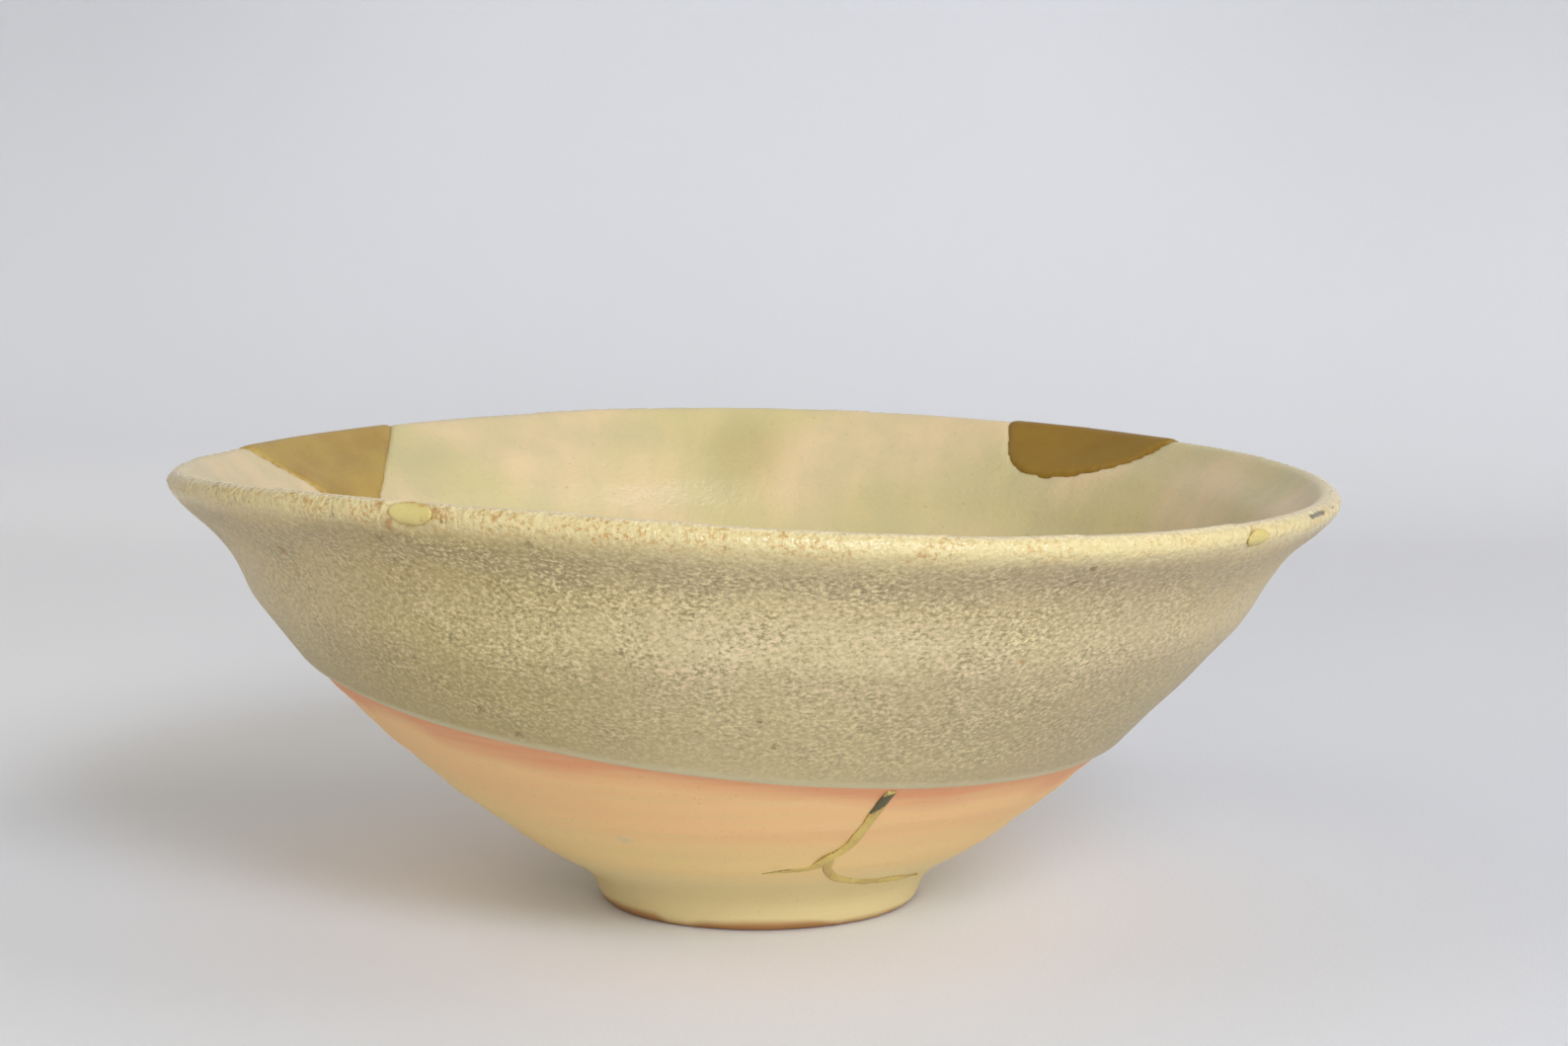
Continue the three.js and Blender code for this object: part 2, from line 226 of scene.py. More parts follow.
class StageSettings(bpy.types.PropertyGroup):
    """The floor, the light and the camera."""

    floor_colour: colour("Floor", "E6E7ED", "Pale grey paper under the bowl")
    # Painted shade: the standing backdrop is the same paper, drawn darker than the floor
    wall_colour: colour("Backdrop", "D8D9DF", "The same paper where it stands up behind the bowl")
    # Painted shade: the backdrop is drawn darker out to its sides
    corner_shade_colour: colour("Backdrop corners", "C6C7CB", "The backdrop out to the sides")
    fold_place: length("Fold place", 330, "Distance behind the bowl at which the floor turns up")
    fold_radius: length("Fold radius", 160, "Radius of the turn from floor to backdrop")
    key_power: power("Key window", 6.7, "Power of the main light")
    front_power: power("Front window", 11, "Power of the low light in front")
    right_power: power("Right window", 6.6, "Power of the light at the right")
    left_power: power("Left window", 3.9, "Power of the light at the left")
    day_tint: colour("Daylight", "E1EEFF", "Cool tint of the main light")
    room_tint: colour("Room light", "FFF7E7", "Warm tint of the light from the sides and from all round")
    sky_strength: FloatProperty(
        name="Sky", description="Strength of the light from all round", default=0.21
    )
    camera_place: FloatVectorProperty(
        name="Camera", description="Where the camera stands", unit="LENGTH",
        default=(4.565 * MM, -451.266 * MM, 109.1 * MM),
    )
    camera_dip: turn("Camera dip", 7.506, "Angle at which the camera looks down")
    camera_lens: FloatProperty(name="Lens", description="Focal length", default=79.2, unit="CAMERA")


def smooth_step(values, low, high):
    """0 at low and before it, 1 at high and past it, with a soft rise between. Low may be the larger."""
    share = np.clip((values - low) / (high - low), 0, 1)
    return share * share * (3 - 2 * share)


def activate(piece):
    """Makes a piece the only one that operators act on."""
    bpy.ops.object.select_all(action="DESELECT")
    piece.select_set(True)
    bpy.context.view_layer.objects.active = piece


def copy_of(node, name):
    """A copy of a solid as a piece of its own, with its loose triangles joined."""
    piece = bpy.data.objects.new(name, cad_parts[node].data.copy())
    piece.data.name = name
    piece.data.materials.clear()
    bpy.context.scene.collection.objects.link(piece)
    activate(piece)
    bpy.ops.object.mode_set(mode="EDIT")
    bpy.ops.mesh.select_all(action="SELECT")
    bpy.ops.mesh.remove_doubles(threshold=JOIN_REACH)
    bpy.ops.object.mode_set(mode="OBJECT")
    return piece


def apply_modifier(piece, kind, **settings):
    """Adds a modifier and applies it."""
    activate(piece)
    modifier = piece.modifiers.new(kind.title(), kind)
    for name, value in settings.items():
        setattr(modifier, name, value)
    bpy.ops.object.modifier_apply(modifier=modifier.name)


def even_surface(piece, grid, rounds):
    """Gives a piece a surface of small even squares and smooths it."""
    apply_modifier(piece, "REMESH", mode="VOXEL", voxel_size=grid, adaptivity=0)
    apply_modifier(piece, "SMOOTH", factor=0.5, iterations=rounds)
    activate(piece)
    bpy.ops.object.shade_smooth()


def rows_of(piece, field):
    """The places or the normals of a mesh's points, one row each."""
    values = np.empty(3 * len(piece.data.vertices))
    piece.data.vertices.foreach_get(field, values)
    return values.reshape(-1, 3)


def place_points(piece, places):
    """Puts a mesh's points at new places, inside the box of the solids."""
    inside = np.clip(places, np.array(cad_box[0]), np.array(cad_box[1]))
    piece.data.vertices.foreach_set("co", inside.ravel())
    piece.data.update()


def store(piece, name, values):
    """Keeps a value for each point, for the material to read."""
    attribute = piece.data.attributes.new(name, "FLOAT", "POINT")
    attribute.data.foreach_set("value", values.astype(np.float32))


def lumps(places, size, seed):
    """A smooth random value from about -1 to 1 at each place, with lumps of one size."""
    shift = Vector((seed, 1.7 * seed, 2.3 * seed))
    return np.array([noise.noise(Vector(place) / size + shift) for place in places])


def angles_of(places):
    """Angle round the bowl of each place."""
    return np.arctan2(places[:, 1] - RIM_AXIS.y, places[:, 0] - RIM_AXIS.x)


def rim_heights(angles):
    """Height of the lip at each angle, read from the solids that form it."""
    rim_nodes = [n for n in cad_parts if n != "crack_seam"]
    places = np.concatenate([rows_of(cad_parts[n], "co") for n in rim_nodes])
    steps = np.linspace(-math.pi, math.pi, RIM_STEPS, endpoint=False)
    turns = (angles_of(places) + math.pi) / math.tau
    nearest = np.rint(turns * RIM_STEPS).astype(int) % RIM_STEPS
    tops = [places[nearest == step, 2].max() for step in range(RIM_STEPS)]
    return np.interp(angles, steps, tops, period=math.tau)


def glaze_line(angles, sizes):
    """Height at which the glaze stops, at each angle."""
    return sizes.line_height + sizes.line_slant * np.cos(angles - sizes.line_high)


def on_wall(mark):
    """Where a mark lies on the outer wall, from its angle and height."""
    angle, height = mark
    way = Vector((math.cos(math.radians(angle)), math.sin(math.radians(angle)), 0))
    start = Vector((*RIM_AXIS, height * MM)) + 2 * cad_box[1].x * way
    place = WALL.ray_cast(start, -way)[0]
    if place is None:
        raise RuntimeError(f"the mark at {angle} degrees and {height} mm isn't on the wall")
    return place


def tree_of(mesh):
    """The faces of a mesh, sorted for rays."""
    return BVHTree.FromPolygons([v.co for v in mesh.vertices], [p.vertices for p in mesh.polygons])


WALL = tree_of(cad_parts["stoneware_bowl"].data)


class Recipe:
    """A node tree written as short calls, each giving the socket that holds its result."""

    def __init__(self, tree):
        self.tree = tree

    def node(self, kind, inputs=None, **settings):
        """Adds a node. An input takes a number, a colour or another node's socket."""
        made = self.tree.nodes.new(kind)
        for name, value in settings.items():
            setattr(made, name, value)
        for name, value in (inputs or {}).items():
            if isinstance(value, bpy.types.NodeSocket):
                self.tree.links.new(value, made.inputs[name])
            else:
                made.inputs[name].default_value = value
        return made

    def place(self):
        return self.node("ShaderNodeTexCoord").outputs["Object"]

    def kept(self, name):
        """A value stored on the mesh."""
        return self.node("ShaderNodeAttribute", attribute_name=name).outputs["Fac"]

    def maths(self, operation, first, second=0.0, third=0.0):
        inputs = {0: first, 1: second, 2: third}
        return self.node("ShaderNodeMath", inputs, operation=operation).outputs[0]

    def times(self, *values):
        result = values[0]
        for value in values[1:]:
            result = self.maths("MULTIPLY", result, value)
        return result

    def plus(self, *values):
        result = values[0]
        for value in values[1:]:
            result = self.maths("ADD", result, value)
        return result

    def rise(self, value, low, high, low_result=0.0, high_result=1.0):
        """Goes softly from one result to another as a value goes from low to high."""
        inputs = {
            "Value": value, "From Min": low, "From Max": high,
            "To Min": low_result, "To Max": high_result,
        }
        return self.node("ShaderNodeMapRange", inputs, interpolation_type="SMOOTHSTEP").outputs["Result"]

    def noise(self, place, scale, detail=2.0, roughness=0.5):
        inputs = {"Vector": place, "Scale": scale, "Detail": detail, "Roughness": roughness}
        return self.node("ShaderNodeTexNoise", inputs).outputs["Fac"]

    def stretch(self, place, shares):
        """Squeezes a pattern along the three axes."""
        return self.node("ShaderNodeVectorMath", {0: place, 1: shares}, operation="MULTIPLY").outputs[0]

    def split(self, place):
        return self.node("ShaderNodeSeparateXYZ", {0: place}).outputs

    def distance(self, first, second):
        """How far one place is from another."""
        made = self.node("ShaderNodeVectorMath", {0: first, 1: second}, operation="DISTANCE")
        return made.outputs["Value"]

    def mix(self, share, first, second, blend="MIX"):
        inputs = {0: share, MIX_FIRST: first, MIX_SECOND: second}
        made = self.node("ShaderNodeMix", inputs, data_type="RGBA", blend_type=blend)
        return made.outputs[MIX_RESULT]

    def zones(self, value, stops):
        """A run of colours, each at its own share of a value that goes from 0 to 1."""
        ramp = self.node("ShaderNodeValToRGB", {0: value})
        elements = ramp.color_ramp.elements
        while len(elements) < len(stops):
            elements.new(1)
        for element, (share, tint) in zip(elements, stops):
            element.position = share
            element.color = tint
        return ramp.outputs["Color"]

    def marks(self, name, ragged, softness=0.15):
        """1 on each mark of a kind that is stored on the mesh, with a ragged edge, and 0 away from it."""
        return self.rise(self.plus(self.kept(name), ragged), 0.5 - softness, 0.5 + softness)

    def stroke(self, place, start, end, half_width):
        """1 along the middle of a straight stroke, 0.5 at its edge and less outside it."""
        run = end - start
        inputs = {0: place, 1: start}
        away = self.node("ShaderNodeVectorMath", inputs, operation="SUBTRACT").outputs[0]
        inputs = {0: away, 1: run / run.length_squared}
        share = self.node("ShaderNodeVectorMath", inputs, operation="DOT_PRODUCT").outputs["Value"]
        along = self.maths("MINIMUM", self.maths("MAXIMUM", share, 0.0), 1.0)
        foot = self.node("ShaderNodeVectorMath", {0: run, "Scale": along}, operation="SCALE").outputs[0]
        return self.maths("MULTIPLY_ADD", self.distance(away, foot), -0.5 / half_width, 1.0)

    def group(self, name, **inputs):
        """Places a shared effect and gives its outputs."""
        made = self.node("ShaderNodeGroup", node_tree=bpy.data.node_groups[name])
        for title, value in inputs.items():
            if isinstance(value, bpy.types.NodeSocket):
                self.tree.links.new(value, made.inputs[title])
            else:
                made.inputs[title].default_value = value
        return made.outputs


def new_group(name, inputs, outputs):
    """An empty shared effect, with its recipe, its inputs and the node that takes its results."""
    tree = bpy.data.node_groups.new(name, "ShaderNodeTree")
    for title, kind, value in inputs:
        socket = tree.interface.new_socket(title, in_out="INPUT", socket_type=f"NodeSocket{kind}")
        if value is not None:
            socket.default_value = value
    for title in outputs:
        tree.interface.new_socket(title, in_out="OUTPUT", socket_type="NodeSocketFloat")
    recipe = Recipe(tree)
    return recipe, recipe.node("NodeGroupInput").outputs, recipe.node("NodeGroupOutput").inputs


def make_mottle():
    """Broad cloudy patches, for glaze, clay and lacquer."""
    recipe, given, result = new_group(
        "Mottle",
        [("Place", "Vector", None), ("Scale", "Float", 60.0), ("Contrast", "Float", 0.15)],
        ["Share"],
    )
    cloud = recipe.noise(given["Place"], given["Scale"], 3.0, 0.55)
    low = recipe.maths("SUBTRACT", 0.5, given["Contrast"])
    high = recipe.maths("ADD", 0.5, given["Contrast"])
    recipe.tree.links.new(recipe.rise(cloud, low, high), result["Share"])


def make_grain():
    """Light grains with dark gaps between them, a little longer than they are high."""
    recipe, given, result = new_group(
        "Grain",
        [("Place", "Vector", None), ("Scale", "Float", 2000.0)],
        ["Light", "Dark", "Height"],
    )
    cloud = recipe.noise(recipe.stretch(given["Place"], (0.8, 0.8, 1.2)), given["Scale"], 2.0, 0.7)
    recipe.tree.links.new(recipe.rise(cloud, 0.5, 0.64), result["Light"])
    recipe.tree.links.new(recipe.rise(cloud, 0.48, 0.34), result["Dark"])
    recipe.tree.links.new(recipe.maths("SUBTRACT", cloud, 0.5), result["Height"])


def make_pits():
    """Small scattered pits of uneven size."""
    recipe, given, result = new_group(
        "Scattered pits",
        [
            ("Place", "Vector", None), ("Scale", "Float", 90.0),
            ("Size", "Float", 0.1), ("Ragged", "Float", 0.0),
        ],
        ["Pit"],
    )
    cells = recipe.node("ShaderNodeTexVoronoi", {"Vector": given["Place"], "Scale": given["Scale"]})
    chance = recipe.split(cells.outputs["Color"])["X"]
    radius = recipe.times(given["Size"], recipe.rise(chance, 0.45, 1.0))
    reach = recipe.plus(radius, recipe.times(given["Ragged"], 0.1))
    edge = recipe.maths("SUBTRACT", reach, cells.outputs["Distance"])
    recipe.tree.links.new(recipe.rise(edge, -0.03, 0.03), result["Pit"])


def finish_material(recipe, base, height, bump_distance, roughness, **plain):
    """Ends a material in one surface shader, with plain numbers set on its own sockets."""
    inputs = {"Height": height, "Distance": bump_distance, "Strength": 1.0}
    bump = recipe.node("ShaderNodeBump", inputs).outputs["Normal"]
    shader_inputs = {"Base Color": base, "Roughness": roughness, "Normal": bump}
    shader_inputs.update({name.replace("_", " "): value for name, value in plain.items()})
    shader = recipe.node("ShaderNodeBsdfPrincipled", shader_inputs)
    output = recipe.node("ShaderNodeOutputMaterial")
    recipe.tree.links.new(shader.outputs[0], output.inputs["Surface"])


def new_material(name):
    """An empty material and its recipe."""
    material = bpy.data.materials.new(name)
    material.use_nodes = True
    material.node_tree.nodes.clear()
    return material, Recipe(material.node_tree)


def stoneware_material(tints, surface):
    """Ash glaze over the thrown stoneware of a surface, with bare flashed clay below the glaze line."""
    material, r = new_material("glazed_stoneware")
    place = r.place()
    x, y, z = r.split(place)
    aside = r.maths("ABSOLUTE", x)
    over_line, under_rim, inner = r.kept("over_line"), r.kept("under_rim"), r.kept("inner")
    broad, patches = r.kept("broad"), r.kept("patches")
    speckle = r.maths("SUBTRACT", r.noise(place, 1000.0, 2.0, 0.6), 0.5)
    ragged = r.times(speckle, 1.2)
    drift = r.plus(r.times(broad, 2.5 * MM), r.times(patches, 1.2 * MM), -1.8 * MM)

    # Outer glaze, from the lip down
    depth = r.maths("DIVIDE", r.plus(under_rim, drift), 40 * MM)
    glaze = r.zones(depth, (
        (0.06, tints.glaze_tan), (0.12, tints.glaze_shoulder), (0.17, tints.glaze_shoulder),
        (0.24, tints.glaze_tan), (0.36, tints.glaze_straw), (0.43, tints.glaze_straw),
        (0.55, tints.glaze_sage), (0.9, tints.glaze_sage),
    ))
    glaze = r.mix(r.times(patches, 0.25), glaze, tints.glaze_tan)
    # Painted shade: the glaze is drawn darker out to the left and the right, and yellower on the left, for
    # the way the light falls on the sides
    tone = r.zones(r.rise(x, -BOWL_REACH, BOWL_REACH), (
        (0.02, WHITE), (0.12, tints.shade_left), (0.2, tints.shade_left), (0.45, WHITE),
        (0.6, WHITE), (0.8, tints.shade_right), (0.92, tints.shade_right), (0.99, WHITE),
    ))
    glaze = r.mix(1.0, glaze, tone, "MULTIPLY")
    ash = r.times(
        r.rise(under_rim, 1.5 * MM, 7 * MM, 0.3, 1.0), r.rise(under_rim, 16 * MM, 26 * MM, 1.0, 0.7),
        r.rise(over_line, 0.5 * MM, 5 * MM, 0.3, 1.0), r.rise(aside, 25 * MM, 66 * MM, 1.0, 0.55),
        r.rise(patches, 0.0, 1.0, 1.0, 0.7),
    )
    grain = r.group("Grain", Place=place, Scale=1900.0)
    light_grain = r.mix(broad, tints.cream_grain, tints.peach_grain)
    glaze = r.mix(r.times(grain["Light"], ash, 0.8), glaze, light_grain)
    glaze = r.mix(r.times(grain["Dark"], ash, 0.75), glaze, tints.dark_grain)

    # Lip, where the glaze is thin and the clay shows through in fine specks
    depth = r.plus(under_rim, r.times(speckle, 2.5 * MM), r.times(inner, 6 * MM))
    lip = r.rise(depth, 4.2 * MM, 2.0 * MM)
    fine = r.maths("SUBTRACT", r.noise(place, 1700.0, 3.0, 0.7), 0.5)
    specks = r.times(
        r.rise(fine, -0.03, 0.13), r.rise(patches, 0.0, 1.0, 0.3, 0.8),
        r.rise(x, -5 * MM, 45 * MM, 1.0, 0.6),
    )
    lip_colour = r.mix(specks, tints.lip_cream, tints.lip_rust)
    # Painted highlight: a pale line on the rounded top of the lip, on the near side only
    near = r.rise(y, 20 * MM, -20 * MM)
    depth = r.plus(under_rim, r.times(fine, 1.5 * MM))
    lip_top_highlight = r.times(r.rise(depth, 0.7 * MM, 0.2 * MM), near, 0.7)

    # Inside, smooth and soft, with painted shade out to the sides
    tall = r.stretch(place, (1.0, 1.0, 0.35))
    streaks = r.group("Mottle", Place=tall, Scale=110.0, Contrast=0.18)["Share"]
    inside = r.mix(r.times(broad, 0.75), tints.inner_straw, tints.inner_peach)
    inside = r.mix(r.times(streaks, 0.4), inside, tints.inner_sage)
    from_olive = r.distance(place, OLIVE_PLACE)
    inside = r.mix(r.rise(from_olive, 10 * MM, 2 * MM, 0.0, 0.45), inside, tints.inner_olive)
    # Painted shade: the inside turns greyer out to the left and the right
    sides = r.rise(aside, 15 * MM, 60 * MM)
    shaded = r.mix(1.0, inside, tints.inner_shade, "MULTIPLY")
    inside = r.mix(sides, inside, shaded)

    # Outside, inside and lip together, with a pale edge at the glaze line
    glaze = r.mix(inner, glaze, inside)
    glaze = r.mix(lip, glaze, lip_colour)
    glaze = r.mix(lip_top_highlight, glaze, tints.lip_top_highlight)
    glaze = r.mix(r.rise(over_line, 1.4 * MM, 0.4 * MM, 0.0, 0.7), glaze, tints.glaze_edge)

    # Bare clay, from the glaze line down, and paler below the turned ring
    below = r.plus(r.times(over_line, -1.0), r.times(broad, 1.5 * MM), -0.75 * MM)
    clay = r.zones(r.maths("DIVIDE", below, 26 * MM), (
        (0.04, tints.clay_salmon), (0.15, tints.clay_peach), (0.36, tints.clay_peach),
        (0.6, tints.clay_ochre),
    ))
    clay = r.mix(r.rise(z, 16.5 * MM, 13 * MM, 0.0, 0.65), clay, tints.clay_ochre)
    clay = r.mix(r.rise(z, 11 * MM, 7 * MM, 0.0, 0.9), clay, tints.clay_olive)
    lines = r.noise(r.stretch(place, (0.04, 0.04, 1.0)), 1400.0, 2.0, 0.6)
    clay = r.mix(r.rise(lines, 0.4, 0.75, 0.0, 0.22), clay, tints.clay_olive)
    toasted = r.rise(r.plus(z, r.times(patches, 0.8 * MM)), 2.0 * MM, 0.6 * MM)
    clay = r.mix(r.times(toasted, 0.9), clay, tints.foot_rust)
    clay = r.mix(r.times(r.marks("pale_spots", ragged, 0.4), 0.6), clay, tints.glaze_edge)

    # The two meet at the glaze line, and the marks lie over both
    glazed = r.rise(over_line, -0.15 * MM, 0.15 * MM)
    base = r.mix(glazed, clay, glaze)
    pits = r.group("Scattered pits", Place=place, Scale=110.0, Size=0.08, Ragged=ragged)
    scattered = r.times(pits["Pit"], glazed, r.rise(inner, 0, 1, 1.0, 0.2))
    base = r.mix(r.times(scattered, 0.4), base, tints.pit_brown)
    base = r.mix(r.times(r.marks("dark_pits", r.times(fine, 2.2), 0.25), 0.6), base, tints.pit_brown)
    base = r.mix(r.times(r.marks("rust_spots", ragged, 0.3), 0.7), base, tints.rust)
    base = r.mix(r.times(r.marks("ochre_drips", ragged, 0.3), 0.6), base, tints.ochre_drip)
    # Painted shade: the nick in the lip is drawn dark grey, as the shade in its recess
    for start, end, half_width in NICK:
        start, end = [surface.find_nearest(on_wall(mark))[0] for mark in (start, end)]
        stroke = r.stroke(place, start, end, half_width * MM)
        base = r.mix(r.rise(r.plus(stroke, fine), 0.35, 0.7, 0.0, 0.85), base, tints.nick_shade_grey)

    # Relief and roughness
    peel = r.times(speckle, r.rise(lip, 0, 1, 0.12, 0.42), glazed)
    grains = r.times(grain["Height"], ash, 0.08, glazed)
    turning = r.times(lines, -0.035, r.maths("SUBTRACT", 1.0, glazed))
    height = r.plus(peel, grains, turning)
    rough = r.rise(glazed, 0, 1, 0.66, 0.46)
    rough = r.plus(rough, r.times(inner, glazed, -0.1), r.times(lip, -0.28), r.times(speckle, 0.3))
    finish_material(r, base, height, MM, rough)
    return material


def lacquer_material(name, first, second, metal, grain_share, patina=None):
    """Aged lacquer dusted with gold, from two tints, with patina where the mesh says so."""
    material, r = new_material(name)
    place = r.place()
    cloud = r.group("Mottle", Place=place, Scale=140.0, Contrast=0.2)["Share"]
    grain = r.group("Grain", Place=place, Scale=2600.0)
    base = r.mix(cloud, first, second)
    base = r.mix(r.times(grain["Light"], grain_share), base, second)
    base = r.mix(r.times(grain["Dark"], grain_share), base, first)
    if patina:
        base = r.mix(r.rise(r.plus(r.kept("patina"), grain["Height"]), 0.2, 0.6), base, patina)
    height = r.plus(r.times(grain["Height"], 0.03), r.times(cloud, 0.05))
    finish_material(r, base, height, MM, r.plus(0.4, r.times(cloud, 0.12)), Metallic=metal)
    return material


def floor_material(floor_tint, wall_tint, corner_shade):
    """Pale paper with a faint cloth grain, with painted shade on the backdrop and its corners and painted
    light on the floor to the left.
    """
    material, r = new_material("pale_paper")
    place = r.place()
    weave = r.noise(place, 1500.0, 3.0, 0.6)
    cloud = r.noise(place, 9.0, 2.0)
    x, _, z = r.split(place)
    # Painted shade: the paper is darker where it stands up as the backdrop
    wall = r.rise(z, 0.0, 250 * MM)
    base = r.mix(wall, floor_tint, wall_tint)
    # Painted shade: the backdrop darkens out to the left and the right
    corners = r.times(wall, r.rise(r.maths("ABSOLUTE", x), 60 * MM, 190 * MM))
    base = r.mix(corners, base, corner_shade)
    # Painted light: the floor is drawn paler towards the left, near the bowl
    painted_light_left = r.times(r.rise(x, 20 * MM, -120 * MM, 0.0, 0.45), r.rise(z, 20 * MM, 0.0))
    base = r.mix(painted_light_left, base, WHITE)
    base = r.mix(r.rise(cloud, 0.3, 0.7, 0.0, 0.1), base, wall_tint)
    height = r.plus(r.times(weave, 0.05), r.times(cloud, 0.3))
    finish_material(r, base, height, MM, 0.75)
    return material


def stroked(places, strokes, out, blur=0.0):
    """1 along the middle of each stroke, 0 at a blur past its edge, and less than 0 further away.

    Each distance is taken along the wall, square to the way out.
    """
    share = np.full(len(places), -np.inf)
    for start, end, half_width in strokes:
        start, end = np.array(on_wall(start)), np.array(on_wall(end))
        run = end - start
        along = np.clip((places - start) @ run / (run @ run), 0, 1)
        gap = places - start - along[:, None] * run
        gap -= (gap * out).sum(1)[:, None] * out
        share = np.maximum(share, 1 - np.linalg.norm(gap, axis=1) / (half_width * MM + blur))
    return share


def relief(piece, sizes):
    """Adds the potter's traces to the bowl: finger rings, tool waves, the edge of the coat and a nick."""
    places, normals = rows_of(piece, "co"), rows_of(piece, "normal")
    angles, heights = angles_of(places), places[:, 2]
    radii = np.hypot(places[:, 0] - RIM_AXIS.x, places[:, 1] - RIM_AXIS.y)
    over_line = heights - glaze_line(angles, sizes)
    under_rim = rim_heights(angles) - heights
    outward = ((places[:, :2] - np.array(RIM_AXIS)) * normals[:, :2]).sum(1) / radii
    # The rounded outer edge of the lip faces up as the inside does, but belongs to the outside
    lip_face = smooth_step(outward, 0.0, 0.35) * smooth_step(under_rim, 6 * MM, 4 * MM)
    inner = smooth_step(normals[:, 2], -0.05, 0.25) * (1 - lip_face)
    outer = 1 - inner
    wall = smooth_step(heights, FOOT_HEIGHT, FOOT_HEIGHT + 3 * MM)
    glazed = smooth_step(over_line, -0.4 * MM, 0.4 * MM)

    broad = sizes.lump_depth * lumps(places, 15 * MM, seed=3)
    close = 0.35 * sizes.lump_depth * lumps(places, 4.5 * MM, seed=8)
    drift = 0.8 * lumps(places, 40 * MM, seed=5)
    rings = sizes.ring_depth * np.sin(math.tau * heights / sizes.ring_pitch + angles + drift)
    waves = np.sin(math.tau * heights / sizes.facet_pitch + 0.5 * np.sin(angles) + 2 * drift)
    small_waves = np.sin(math.tau * heights / (0.45 * sizes.facet_pitch) - np.sin(angles + 1) + drift)
    facets = sizes.facet_depth * (0.7 * waves + 0.4 * small_waves)
    roll = np.exp(-(((over_line - 0.7 * MM) / (0.7 * MM)) ** 2))
    coat = sizes.coat * (glazed - 0.5) + sizes.roll * roll
    spiral = sizes.ring_depth * np.sin(math.tau * radii / sizes.ring_pitch - angles + drift)
    lip = smooth_step(under_rim, 5 * MM, 1 * MM)
    on_glaze = glazed * (rings + close)
    on_clay = (1 - glazed) * facets
    shift = broad + wall * outer * (on_glaze + on_clay + coat) + inner * (spiral + close)
    # The foot's edge stays flat, and the lip thins a little so that no lump rises over the solid
    shift = shift * smooth_step(heights, 0.5 * MM, 2.5 * MM) - lip * sizes.lump_depth
    shift -= sizes.nick_depth * np.clip(stroked(places, NICK[:1], normals, sizes.bowl_grid), 0, 1)

    place_points(piece, places + shift[:, None] * normals)
    # The whole inside counts as far over the glaze line
    store(piece, "over_line", over_line * (1 - inner) + 2 * sizes.line_height * inner)
    store(piece, "under_rim", under_rim)
    store(piece, "inner", inner)
    store(piece, "broad", smooth_step(lumps(places, 18 * MM, seed=21), -0.3, 0.3))
    store(piece, "patches", smooth_step(lumps(places, 6 * MM, seed=27), -0.35, 0.35))
    # Each mark is 1 in its middle and 0.5 at its edge
    for name, marks in SPOTS.items():
        nearest = np.zeros(len(places))
        for angle, height, size in marks:
            away = np.linalg.norm(places - np.array(on_wall((angle, height))), axis=1)
            nearest = np.maximum(nearest, 1 - 0.5 * away / (0.5 * size * MM))
        store(piece, name, nearest)


def lap_over(piece, lap, ragged, proud):
    """Swells a fill so that it stands proud of the wall and laps over its broken edge."""
    places, normals = rows_of(piece, "co"), rows_of(piece, "normal")
    angles = angles_of(places)
    level = np.stack([np.cos(angles), np.sin(angles), np.zeros(len(angles))], 1)
    up = np.array([0, 0, 1.0])
    out = math.cos(LIP_LEAN) * level - math.sin(LIP_LEAN) * up
    rising = math.sin(LIP_LEAN) * level + math.cos(LIP_LEAN) * up
    along = np.cross(out, rising)
    lap = lap + ragged * lumps(places, 12 * ragged, seed=11)
    across_share, rise_share, along_share = [(normals * way).sum(1) for way in (out, rising, along)]
    proud = proud * (1 + 0.3 * lumps(places, 6 * MM, seed=4))
    # Down the wall and along it the fill laps over the clay, but up at the lip it rises only a little
    lifted = np.where(rise_share < 0, rise_share * lap, rise_share * 0.5 * proud)
    moved = (across_share * proud)[:, None] * out
    moved = moved + lifted[:, None] * rising + (along_share * lap)[:, None] * along
    place_points(piece, places + moved)


def hand_over(piece, node, material):
    """Lets a finished piece stand for its solid."""
    piece.data.materials.append(material)
    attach(piece, "root")
    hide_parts(node)


class MENDED_OT_effects(bpy.types.Operator):
    """Make the shader effects that the materials share"""

    bl_idname = "mended.effects"
    bl_label = "Shared effects"

    def execute(self, context):
        make_mottle()
        make_grain()
        make_pits()
        return {"FINISHED"}


class MENDED_OT_bowl(bpy.types.Operator):
    """Make the thrown, glazed and warped bowl with its notches and groove"""

    bl_idname = "mended.bowl"
    bl_label = "Stoneware bowl"

    def execute(self, context):
        sizes = context.scene.mended_sizes
        bowl = copy_of("stoneware_bowl", "glazed_bowl")
        even_surface(bowl, sizes.bowl_grid, rounds=5)
        relief(bowl, sizes)
        material = stoneware_material(context.scene.mended_colours, tree_of(bowl.data))
        hand_over(bowl, "stoneware_bowl", material)
        return {"FINISHED"}


class MENDED_OT_rim_fills(bpy.types.Operator):
    """Make the two gold lacquer fills of the lost sherds"""

    bl_idname = "mended.rim_fills"
    bl_label = "Rim fills"

    def execute(self, context):
        sizes, tints = context.scene.mended_sizes, context.scene.mended_colours
        finishes = {
            "left": (tints.gold_worn, tints.gold_ochre),
            "right": (tints.gold_dark, tints.gold_brown),
        }
        for side, (first, second) in finishes.items():
            fill = copy_of(f"{side}_rim_fill", f"{side}_gold_fill")
            even_surface(fill, sizes.fill_grid, rounds=4)
            lap_over(fill, sizes.fill_lap, sizes.fill_ragged, sizes.fill_proud)
            material = lacquer_material(
                f"{side}_gold_lacquer", first, second, metal=0.15, grain_share=0.3
            )
            hand_over(fill, f"{side}_rim_fill", material)
        return {"FINISHED"}


